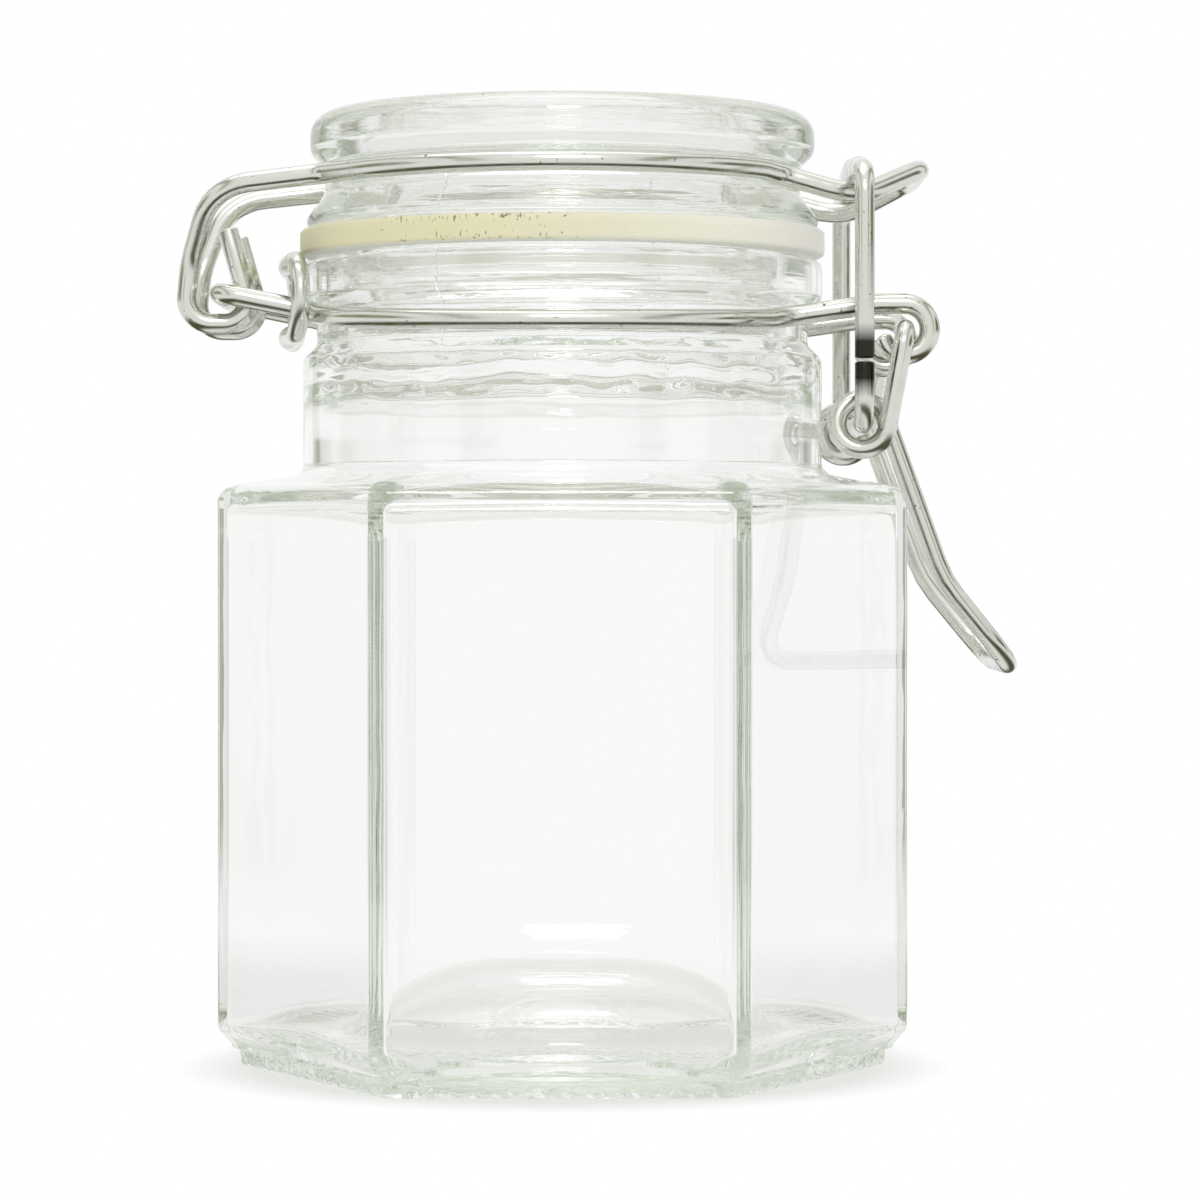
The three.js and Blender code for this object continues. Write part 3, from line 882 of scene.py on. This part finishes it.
# %% Lid
SEAT_GAP = 0.3
PLUG_RADIUS = 19.3
HOLLOW = 16.7
FLANGE_RADIUS = 22.9
RIM_RADIUS = 22.6
LID_GROOVE = 21.35
GROOVE_HALF_HEIGHT = 1.3
GROOVE_OVER_FLANGE = 2.8
ROOF_DEPTH = 6.2
DISH = (18.5, 17.4)
DISH_DEPTH = 3.2
gasket_low, gasket_high = heights("rubber_gasket")
plug_low, lid_top = heights("glass_lid")
flange_low = gasket_high + SEAT_GAP
lid_wire_height = flange_low + GROOVE_OVER_FLANGE + GROOVE_HALF_HEIGHT

lid_outline = [
    at(0, lid_top - ROOF_DEPTH),
    at(HOLLOW, lid_top - ROOF_DEPTH, 0, 2),
    at(HOLLOW, plug_low, 0, 0.8),
    at(PLUG_RADIUS, plug_low, 0, 0.8),
    at(PLUG_RADIUS, flange_low, 0, 0.4),
    at(FLANGE_RADIUS, flange_low, 0, 0.35),
    at(FLANGE_RADIUS, flange_low + 0.7, 0, 0.5),
    at(LID_GROOVE, lid_wire_height - GROOVE_HALF_HEIGHT, 0, 0.9),
    at(LID_GROOVE, lid_wire_height + GROOVE_HALF_HEIGHT, 0, 0.9),
    at(RIM_RADIUS, lid_top - 3.6, 0, 1.5),
    at(RIM_RADIUS, lid_top, 0, 2.1),
    at(DISH[0], lid_top, 0, 1.1),
    at(DISH[1], lid_top - DISH_DEPTH, 0, 1.2),
    at(0, lid_top - DISH_DEPTH),
]
lid = finish_piece(turned(rounded(lid_outline)), "lid_glass", glass, "lid", "glass_lid")

# %% Gasket
GASKET_INNER = 20.02
GASKET_OUTER = 23.5
GASKET_EDGE = 0.4
gasket_middle = (GASKET_INNER + GASKET_OUTER) / 2
gasket_outline = [
    at(gasket_middle, gasket_low),
    at(GASKET_OUTER, gasket_low, 0, GASKET_EDGE),
    at(GASKET_OUTER, gasket_high, 0, GASKET_EDGE),
    at(GASKET_INNER, gasket_high, 0, GASKET_EDGE),
    at(GASKET_INNER, gasket_low, 0, GASKET_EDGE),
    at(gasket_middle, gasket_low),
]
gasket = finish_piece(
    turned(rounded(gasket_outline)), "gasket_ring", rubber, "lid", "rubber_gasket"
)

# %% [markdown]
# ## Wires
# A wire is a circle pushed along its route: its edges are extruded, and the new ring is carried to the
# next point and turned to the new heading. The routes are the ones that a bending jig would make:
# straight runs, bends of a known radius, and arcs that lie in the grooves of the glass. Most bends are
# counted in diameters of the wire. A curve with a bevel would be quicker to draw, but its cut ends stay
# sharp, and an edge that is quite sharp never catches the light.

# %% Wire helpers
WIRE = 1.8
CLASP_WIRE = 1.7
WIRE_SIDES = 20
END_BREAK = 0.18
TIGHT_BEND = 1.4
RUNNING_GAP = 0.45
JOINT_GAP = 0.3
FRONT_STEP = 3


def swept(route, diameter):
    """A wire of that diameter along the route, with a small chamfer at its two cut ends."""
    bm = bmesh.new()
    runs = [(b - a).normalized() for a, b in zip(route, route[1:])]
    means = [runs[0]] + [(a + b).normalized() for a, b in zip(runs, runs[1:])] + [runs[-1]]
    turn = Vector((0, 0, 1)).rotation_difference(means[0]).to_matrix().to_4x4()
    ring = bmesh.ops.create_circle(
        bm, segments=WIRE_SIDES, radius=diameter / 2, matrix=Matrix.Translation(route[0]) @ turn
    )["verts"]
    ends = [loop_edges(bm, ring)]
    for i in range(1, len(route)):
        ring = carried(bm, ring)
        carry = means[i - 1].rotation_difference(means[i]).to_matrix().to_4x4()
        carry = Matrix.Translation(route[i]) @ carry @ Matrix.Translation(-route[i - 1])
        bmesh.ops.transform(bm, matrix=carry, verts=ring)
    ends.append(loop_edges(bm, ring))
    for edges in ends:
        bmesh.ops.edgeloop_fill(bm, edges=edges)
    bmesh.ops.bevel(
        bm,
        geom=ends[0] + ends[1],
        offset=END_BREAK,
        segments=3,
        profile=0.5,
        affect="EDGES",
        material=-1,
    )
    bmesh.ops.recalc_face_normals(bm, faces=bm.faces)
    return bm


def bend(x, y, z, radius=0.0):
    """A corner of a wire's route, with the radius that the wire is bent to there."""
    return Vector((x, y, z)), radius


def both_sides(near_half):
    """The whole route from its near half, which ends on the middle plane."""
    far = [Vector((point.x, -point.y, point.z)) for point in near_half[:-1]]
    return near_half + far[::-1]


def about_y(centre, radius, from_angle, to_angle, from_y, to_y):
    """Corners of an arc or a coil about Y, seen from the front: degrees counter-clockwise from +X."""
    count = math.ceil(abs(to_angle - from_angle) / ARC_STEP)
    corners = []
    for step in range(count + 1):
        share = step / count
        angle = math.radians(from_angle + (to_angle - from_angle) * share)
        corners.append(
            bend(
                centre.x + radius * math.cos(angle),
                from_y + (to_y - from_y) * share,
                centre.z + radius * math.sin(angle),
            )
        )
    return corners


def round_front(radius, right, left, right_height, front_height, left_height):
    """Corners round the front, from degrees off +X on the right to degrees off -X on the left."""
    start, stop = -right, left - 180
    count = math.ceil((start - stop) / FRONT_STEP)
    corners = []
    for step in range(count + 1):
        angle = start + (stop - start) * step / count
        end, height = (start, right_height) if angle > -90 else (stop, left_height)
        share = (angle + 90) / (end + 90)
        point = polar(radius, math.radians(angle))
        corners.append(bend(point.x, point.y, front_height + (height - front_height) * share**2))
    return corners


def leaving(radius, angle, beside):
    """How far along X the line that leaves a circle at an angle meets a strand beside the X axis."""
    angle = math.radians(angle)
    return radius * math.cos(angle) + math.tan(angle) * (radius * math.sin(angle) - beside)


print("wires of", WIRE, "and", CLASP_WIRE, "mm")

# %% [markdown]
# The neck wire lies in the groove of the neck. On the left it closes to the straight bar that the lid
# turns on, and on the right each end is curled to an eye for a pin of the lever. Half of it is routed,
# and the other half is its mirror image.

# %% Neck wire
HINGE_HALF_WIDTH = 7.9
EYE_HALF_WIDTH = 13
EYE_RADIUS = 2.2
EYE_END = -160
NECK_RIGHT, NECK_LEFT = 40, 25
FRONT_RISE = 1.2
LEFT_DROP = 0.675
neck_wire_radius = GROOVE_RADIUS + SEAT_GAP + WIRE / 2
front_height = GROOVE[1] + FRONT_RISE
right_height = front_height + RUNNING_GAP
left_height = GROOVE[2] - LEFT_DROP
right_leave = leaving(neck_wire_radius, NECK_RIGHT, EYE_HALF_WIDTH)
left_leave = leaving(neck_wire_radius, NECK_LEFT, HINGE_HALF_WIDTH)
route = rounded(
    [
        *about_y(eye, EYE_RADIUS, EYE_END, 90, -EYE_HALF_WIDTH, -EYE_HALF_WIDTH),
        bend(eye.x - EYE_RADIUS, -EYE_HALF_WIDTH, eye.z + EYE_RADIUS),
        bend(right_leave, -EYE_HALF_WIDTH, right_height + SEAT_GAP, 2 * WIRE),
        *round_front(neck_wire_radius, NECK_RIGHT, NECK_LEFT, right_height, front_height, left_height),
        bend(-left_leave, -HINGE_HALF_WIDTH, left_height + RUNNING_GAP, 1.1 * WIRE),
        bend(hinge.x, -HINGE_HALF_WIDTH, hinge.z, WIRE),
        bend(hinge.x, 0, hinge.z),
    ]
)
neck_wire = finish_piece(
    swept(both_sides(route), WIRE), "neck_band_wire", wire_finish, "jar", "neck_wire"
)

# %% [markdown]
# The cinch ring is an oval of thinner wire that holds the two strands of the neck wire together. Its
# ends meet in a butt joint. It is bowed round the neck and a little skewed, because it was closed by
# hand.

# %% Cinch ring
RING_HALF_HEIGHT = 3.2
RING_SKEW = 0.9
RING_BOW = 1
RING_SLACK = 1.5
ring_x = -(GASKET_OUTER + SEAT_GAP + CLASP_WIRE / 2)
ring_z = finish_top - RING_HALF_HEIGHT - CLASP_WIRE / 2 + SEAT_GAP
ring_half_width = HINGE_HALF_WIDTH + WIRE / 2 + CLASP_WIRE / 2 + RING_SLACK
straight = ring_half_width - RING_HALF_HEIGHT
oval = [(JOINT_GAP / 2, -RING_HALF_HEIGHT)]
oval += [(straight * share, -RING_HALF_HEIGHT) for share in (0.25, 0.5, 0.75)]
oval += [
    (
        straight + RING_HALF_HEIGHT * math.cos(math.radians(angle)),
        RING_HALF_HEIGHT * math.sin(math.radians(angle)),
    )
    for angle in range(-90, 91, ARC_STEP)
]
oval += [(straight * share, RING_HALF_HEIGHT) for share in (0.75, 0.5, 0.25)]
oval += [(0, RING_HALF_HEIGHT)] + [(-across, up) for across, up in oval[::-1]]
route = []
for along, up in oval:
    share = along / ring_half_width
    route.append(Vector((ring_x + RING_BOW * share**2 - RING_SKEW * share, along, ring_z + up)))
neck_ring = finish_piece(swept(route, CLASP_WIRE), "cinch_ring", wire_finish, "jar", "neck_ring")

# %% [markdown]
# The lid wire lies in the groove of the lid. On the left its ends are open eyes that hook under the
# hinge bar, and on the right it runs out to an upturned nose, where the clasp takes hold.

# %% Lid wire
LID_STRAND = 9.8
LID_EYE = 2.65
LID_TAIL = 5.7
NOSE_STRAND = 12.2
NOSE_HALF_WIDTH = 7
NOSE_X = NECK_RADIUS + 8.35
NOSE_DIP = 2.2
NOSE_LIFT = 0.6
LID_RIGHT, LID_LEFT = 40, 38
STRAND_FALL = 1.1
tight = TIGHT_BEND * WIRE
lid_wire_radius = LID_GROOVE + SEAT_GAP + WIRE / 2
eye_y = -(HINGE_HALF_WIDTH - WIRE - RUNNING_GAP)
level = lid_wire_height
right_leave = leaving(lid_wire_radius, LID_RIGHT, NOSE_STRAND)
left_leave = leaving(lid_wire_radius, LID_LEFT, LID_STRAND)
route = rounded(
    [
        bend(hinge.x + LID_EYE * 0.25, eye_y, hinge.z + LID_TAIL),
        bend(hinge.x + LID_EYE * 1.15, eye_y, hinge.z - LID_EYE, tight * 0.8),
        bend(hinge.x - LID_EYE * 1.195, eye_y, hinge.z - LID_EYE, tight * 0.9),
        bend(hinge.x - LID_EYE, eye_y, hinge.z + LID_EYE, tight * 2),
        bend(hinge.x - RUNNING_GAP, -LID_STRAND * 0.93, level - STRAND_FALL, tight * 2),
        bend(-left_leave, -LID_STRAND, level, tight),
        *round_front(lid_wire_radius, LID_RIGHT, LID_LEFT, level, level, level)[::-1],
        bend(right_leave, -NOSE_STRAND, level - NOSE_DIP * 0.15, tight),
        bend(coil.x - SEAT_GAP, -NOSE_STRAND, level - NOSE_DIP, tight * 2),
        bend(NOSE_X, -NOSE_HALF_WIDTH, level + NOSE_LIFT, tight * 1.5),
        bend(NOSE_X, 0, level + NOSE_LIFT),
    ]
)
lid_wire = finish_piece(
    swept(both_sides(route), WIRE), "lid_band_wire", wire_finish, "lid", "lid_wire"
)

# %% [markdown]
# The clasp has two wires. The link is a closed loop: its lower bar hangs in the lever's coils, and its
# arched top bar hooks over the nose of the lid wire. The lever turns with two pins in the neck wire's
# eyes, is coiled round the link's bar on each side and ends in a thumb loop.

# %% Clasp link
LINK_ARCH = 2.5
link_bend = TIGHT_BEND * CLASP_WIRE
shoulder = level - NOSE_DIP + (WIRE + CLASP_WIRE) / 2
joint = coil.z + LINK_JOINT
y = LINK_HALF_WIDTH
route = rounded(
    [
        bend(coil.x, -y, joint - JOINT_GAP / 2),
        bend(coil.x, -y, coil.z, link_bend),
        bend(coil.x, y, coil.z, link_bend),
        bend(coil.x, y, shoulder, link_bend),
        bend(coil.x, 0, shoulder + LINK_ARCH, 4 * y),
        bend(coil.x, -y, shoulder, link_bend),
        bend(coil.x, -y, joint + JOINT_GAP / 2),
    ]
)
link = finish_piece(swept(route, CLASP_WIRE), "clasp_loop", wire_finish, "link", "clasp_link")

# %% Clasp lever
ARM_HALF_WIDTH = 15.2
COIL_RADIUS = 2.15
LEG_HALF_WIDTH = 13.05
HANDLE_HALF_WIDTH = 10.9
PIN_END = 11.2
KNEE = (33.28, 13.5)
HANDLE = (39.28, 20.9)
knee = Vector((KNEE[0], 0, coil.z - KNEE[1]))
handle = Vector((HANDLE[0], 0, coil.z - HANDLE[1]))


def touch(point, side):
    """The angle at which a line from a point touches the coil on one side (1 or -1), in degrees."""
    away = point - coil
    return math.degrees(
        math.atan2(away.z, away.x) + side * math.acos(COIL_RADIUS / math.hypot(away.x, away.z))
    )


route = rounded(
    [
        bend(eye.x, -PIN_END, eye.z),
        bend(eye.x, -ARM_HALF_WIDTH, eye.z, CLASP_WIRE),
        *about_y(
            coil, COIL_RADIUS, touch(eye, -1), touch(knee, 1) - 360, -ARM_HALF_WIDTH, -LEG_HALF_WIDTH
        ),
        bend(knee.x, -(LEG_HALF_WIDTH + HANDLE_HALF_WIDTH) / 2, knee.z, 6 * CLASP_WIRE),
        bend(handle.x, -HANDLE_HALF_WIDTH, handle.z, 2.4 * CLASP_WIRE),
        bend(handle.x, 0, handle.z),
    ]
)
lever = finish_piece(
    swept(both_sides(route), CLASP_WIRE), "thumb_lever", wire_finish, "lever", "clasp_lever"
)

# %% [markdown]
# ## Floor, background and light
# The photograph is a bright-field picture: white behind, white below, and soft light from above and
# from the front. The Light Path node lets one studio look different to different rays. To the eye the
# floor and the world are plain white. Glass also sees grey flags at both sides, which draw its dark
# edges, as a photographer's cards do. Bare wire sees dark strips in the room and a dark ring on the
# floor, because a mirror in an all-white room has no shape. As light on the jar, the world counts at
# one plain level, and the floor is paper that keeps the soft shadow. Close round the jar the paper is
# also painted darker, as a painted contact shadow. On the floor, places in a ramp are metres from the
# jar's axis.


# %% Rays
def ray_kinds(tree):
    """Sockets that are 1 for rays seen by eye, mirror or glass, by a bare mirror, and by the eye."""
    path = add_node(tree, "ShaderNodeLightPath", {})
    eye_ray, through = path.outputs["Is Camera Ray"], path.outputs["Is Transmission Ray"]
    seen = eye_ray
    for ray in (path.outputs["Is Glossy Ray"], through):
        seen = add_node(
            tree, "ShaderNodeMath", {0: seen, 1: ray}, operation="ADD", use_clamp=True
        ).outputs["Value"]
    mirrored = add_node(
        tree,
        "ShaderNodeMath",
        {0: path.outputs["Is Glossy Ray"], 1: path.outputs["Transmission Depth"]},
        operation="SUBTRACT",
        use_clamp=True,
    ).outputs["Value"]
    return seen, mirrored, eye_ray


PANEL_STOPS = [
    (0.11, "#fafafa"),
    (0.95, "#e6e6e2"),
    (0.17, "#f6f6f5"),
    (0.3, "#f6f6f5"),
    (0.4, "#f2f2f2"),
    (0.47, "#f2f2f2"),
    (0.56, "#a3a99a"),
    (0.76, "#a3a99a"),
    (0.83, "#eeeeee"),
    (0.9, "#eeeeee"),
]
print(len(PANEL_STOPS), "tones from the middle of the room to its sides")

# %% Floor paper
UNDER_JAR = (28, 35)
UNDER_JAR_GLOW = 0.55
FAR_FLOOR = (80, 300)

floor_paper, tree, output = new_material("white_studio_paper")
seen, mirrored, eye_ray = ray_kinds(tree)
where = add_node(tree, "ShaderNodeTexCoord", {})
away = add_node(
    tree, "ShaderNodeVectorMath", {0: where.outputs["Object"]}, operation="LENGTH"
).outputs["Value"]
fade = add_node(
    tree,
    "ShaderNodeMapRange",
    {
        "Value": away,
        "From Min": UNDER_JAR[0] * MM,
        "From Max": UNDER_JAR[1] * MM,
        "To Min": UNDER_JAR_GLOW,
    },
)
glow_share = add_node(
    tree, "ShaderNodeMath", {0: seen, 1: fade.outputs["Result"]}, operation="MULTIPLY"
)
heading = add_node(
    tree, "ShaderNodeVectorMath", {0: where.outputs["Object"]}, operation="NORMALIZE"
)
heading = add_node(tree, "ShaderNodeSeparateXYZ", {"Vector": heading.outputs["Vector"]})
aside = add_node(tree, "ShaderNodeMath", {0: heading.outputs["X"]}, operation="ABSOLUTE")
sides = ramp(tree, aside.outputs["Value"], PANEL_STOPS)
far = add_node(
    tree,
    "ShaderNodeMapRange",
    {"Value": away, "From Min": FAR_FLOOR[0] * MM, "From Max": FAR_FLOOR[1] * MM},
)
paper_tone = add_node(
    tree,
    "ShaderNodeMix",
    {6: linear("#fafafa"), 7: sides, 0: far.outputs["Result"]},
    data_type="RGBA",
)
dark_ring = ramp(
    tree, away, [(0.05, "#ffffff"), (0.16, "#ffffff"), (0.065, "#5c5844"), (0.11, "#5c5844")]
)
mirror_tone = add_node(
    tree,
    "ShaderNodeMix",
    {6: paper_tone.outputs[2], 7: dark_ring, 0: mirrored},
    data_type="RGBA",
)
shown = add_node(
    tree,
    "ShaderNodeMix",
    {6: mirror_tone.outputs[2], 7: linear("#ffffff"), 0: eye_ray},
    data_type="RGBA",
)
# Painted shadow: the paper's diffuse colour is darker within 30 to 50 mm of the jar's axis, a painted
# contact shadow under the jar.
paper_with_painted_shadow = ramp(tree, away, [(0.03, "#cccec7"), (0.05, "#f6f6f5")])
lit = add_node(tree, "ShaderNodeBsdfDiffuse", {"Color": paper_with_painted_shadow})
glow = add_node(tree, "ShaderNodeEmission", {"Color": shown.outputs[2], "Strength": 1.0})
paper = add_node(
    tree,
    "ShaderNodeMixShader",
    {0: glow_share.outputs["Value"], 1: lit.outputs["BSDF"], 2: glow.outputs["Emission"]},
)
tree.links.new(paper.outputs["Shader"], output.inputs["Surface"])
print("floor finish", floor_paper.name)

# %% Floor
FLOOR_REACH = 4

bm = bmesh.new()
bmesh.ops.create_grid(bm, x_segments=1, y_segments=1, size=FLOOR_REACH)
mesh = bpy.data.meshes.new("studio_floor")
bm.to_mesh(mesh)
bm.free()
mesh.materials.append(floor_paper)
floor = bpy.data.objects.new("studio_floor", mesh)
scene.collection.objects.link(floor)
print("floor at z = 0,", 2 * FLOOR_REACH, "m wide")

# %% Room for glass
FLAGS_BELOW = (0.012, 0.03)

world = bpy.data.worlds.new("white_studio")
world.use_nodes = True
scene.world = world
tree = world.node_tree
tree.nodes.clear()
output = tree.nodes.new("ShaderNodeOutputWorld")
seen, mirrored, eye_ray = ray_kinds(tree)
where = add_node(tree, "ShaderNodeTexCoord", {})
axes = add_node(tree, "ShaderNodeSeparateXYZ", {"Vector": where.outputs["Object"]})
aside = add_node(tree, "ShaderNodeMath", {0: axes.outputs["X"]}, operation="ABSOLUTE")
above = add_node(
    tree,
    "ShaderNodeMapRange",
    {"Value": axes.outputs["Z"], "From Min": FLAGS_BELOW[0], "From Max": FLAGS_BELOW[1]},
)
sides = add_node(
    tree,
    "ShaderNodeMix",
    {
        0: above.outputs["Result"],
        6: ramp(tree, aside.outputs["Value"], PANEL_STOPS),
        7: linear("#f9f9f8"),
    },
    data_type="RGBA",
).outputs[2]
ceiling = ramp(
    tree,
    axes.outputs["Z"],
    [(0.1, "#ffffff"), (0.9, "#f6f6f6"), (0.16, "#f0f1ee"), (0.3, "#f0f1ee"), (0.42, "#fafafa")],
)
panel = add_node(
    tree, "ShaderNodeMix", {0: 1.0, 6: sides, 7: ceiling}, data_type="RGBA", blend_type="MULTIPLY"
).outputs[2]
print("flags end just above the horizon")

# %% Room for wires
across = add_node(
    tree, "ShaderNodeMapRange", {"Value": axes.outputs["X"], "From Min": -1.0, "From Max": 1.0}
)
mirror_room = ramp(
    tree,
    across.outputs["Result"],
    [
        (0.0, "#9c9a86"),
        (1.0, "#7d7a66"),
        (0.035, "#9c9a86"),
        (0.05, "#ffffff"),
        (0.14, "#ffffff"),
        (0.16, "#b2af9f"),
        (0.2, "#b2af9f"),
        (0.23, "#ffffff"),
        (0.77, "#ffffff"),
        (0.79, "#9c9a86"),
        (0.84, "#9c9a86"),
        (0.87, "#ffffff"),
        (0.95, "#ffffff"),
        (0.965, "#7d7a66"),
    ],
)
print("dark strips set")

# %% World
room = add_node(
    tree, "ShaderNodeMix", {0: mirrored, 6: panel, 7: mirror_room}, data_type="RGBA"
)
shown = add_node(
    tree,
    "ShaderNodeMix",
    {0: eye_ray, 6: room.outputs[2], 7: linear("#ffffff")},
    data_type="RGBA",
)
light = add_node(
    tree,
    "ShaderNodeMix",
    {0: seen, 6: linear("#e7e7e7"), 7: shown.outputs[2]},
    data_type="RGBA",
)
sky = add_node(tree, "ShaderNodeBackground", {"Color": light.outputs[2], "Strength": 1.0})
tree.links.new(sky.outputs["Background"], output.inputs["Surface"])
print("world set")


# %% Lamps
def softbox(name, place, aim, size, power):
    """A square soft lamp at a place, turned towards a point, both in metres."""
    lamp = bpy.data.lights.new(name, "AREA")
    lamp.size = size
    lamp.energy = power
    holder = bpy.data.objects.new(name, lamp)
    holder.location = place
    holder.rotation_euler = (Vector(aim) - Vector(place)).to_track_quat("-Z", "Y").to_euler()
    scene.collection.objects.link(holder)


softbox("front_softbox", place=(0.02, -0.75, 0.6), aim=(0, 0, 0.06), size=0.22, power=1.5)
softbox("top_softbox", place=(-0.1, 0.1, 1.0), aim=(0, 0, 0.04), size=0.8, power=1.6)
print("lamps set")
